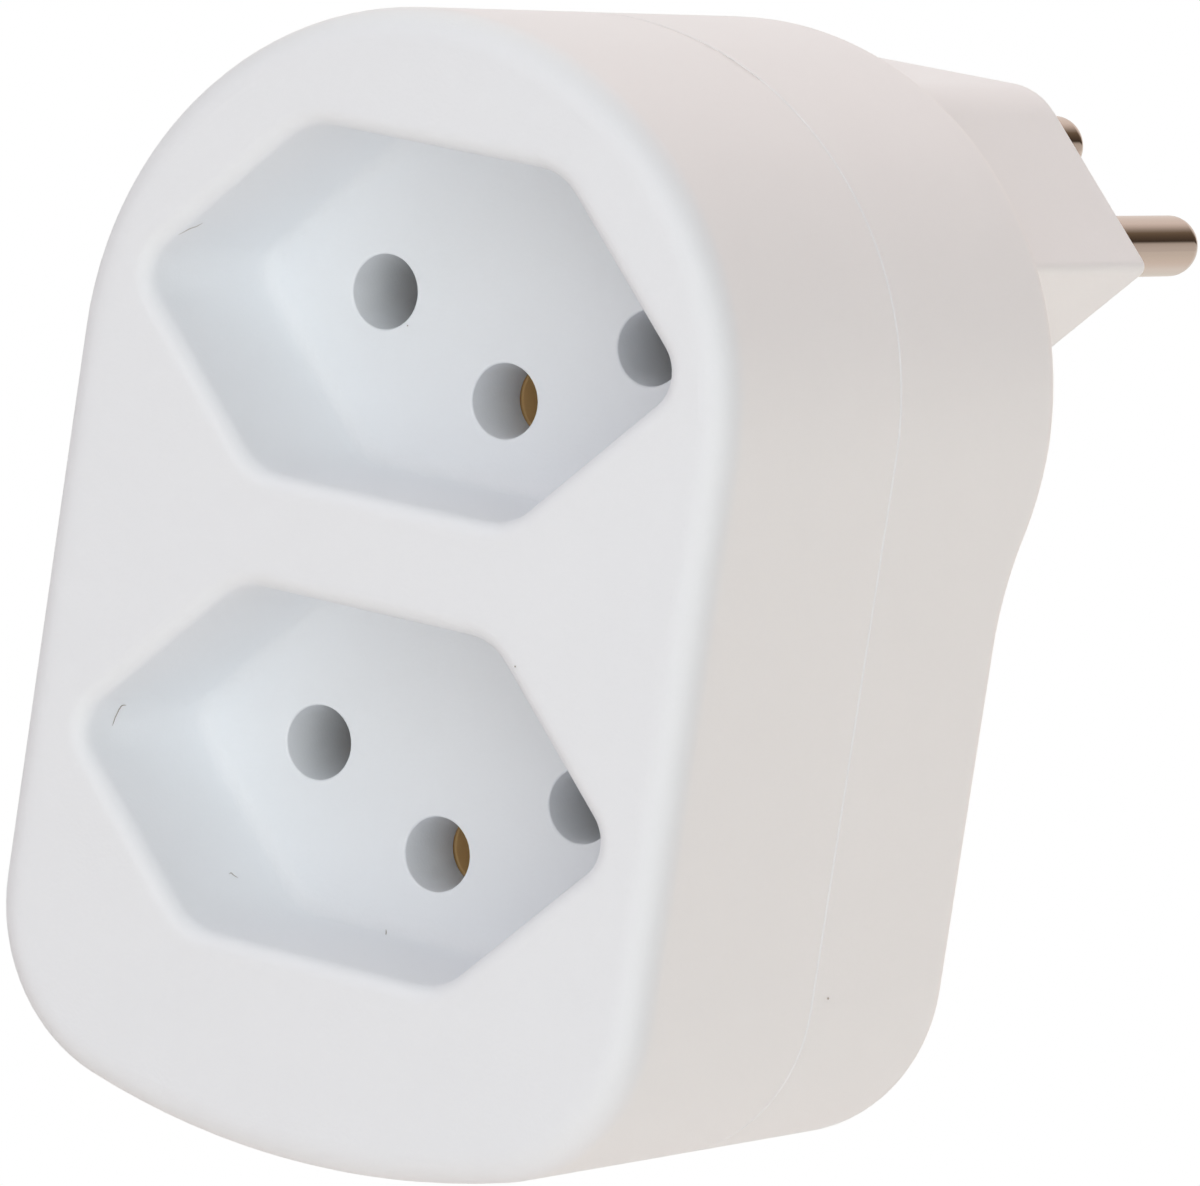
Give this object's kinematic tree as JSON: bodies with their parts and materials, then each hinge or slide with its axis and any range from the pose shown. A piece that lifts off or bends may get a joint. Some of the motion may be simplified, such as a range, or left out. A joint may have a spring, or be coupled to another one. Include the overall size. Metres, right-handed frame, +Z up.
{
  "type": "multi socket adapter",
  "caption": "Plug-in adapter with a hexagonal three-pin plug at the back and recessed hexagonal sockets one above the other in its rounded front.",
  "frame": {"origin": "middle of the plug's end face, midway between the two live pins", "axes": "+Y out of the plug towards the wall, -Y out of the sockets towards the user, +Z up as plugged in, +X to the right seen from the front"},
  "size_m": [0.0458, 0.08, 0.0697],
  "materials": {
    "case_plastic": "white moulded thermoplastic, fine satin grain",
    "carrier_plastic": "natural moulded thermoplastic",
    "nickel_plate": "bright nickel plating on turned brass",
    "contact_brass": "stamped and drawn bare brass",
    "screw_steel": "zinc-plated steel"
  },
  "bodies": {
    "root": {"front_cover": "case_plastic", "rear_housing": "case_plastic", "pin_carrier": "carrier_plastic", "line_pin": "nickel_plate", "neutral_pin": "nickel_plate", "earth_pin": "nickel_plate", "left_housing_screw": "screw_steel", "right_housing_screw": "screw_steel", "line_busbar": "contact_brass", "neutral_busbar": "contact_brass", "earth_busbar": "contact_brass", "upper_line_contact": "contact_brass", "upper_neutral_contact": "contact_brass", "upper_earth_contact": "contact_brass", "lower_line_contact": "contact_brass", "lower_neutral_contact": "contact_brass", "lower_earth_contact": "contact_brass", "upper_line_rivet": "contact_brass", "upper_neutral_rivet": "contact_brass", "upper_earth_rivet": "contact_brass", "lower_line_rivet": "contact_brass", "lower_neutral_rivet": "contact_brass", "lower_earth_rivet": "contact_brass"}
  },
  "joints": []
}
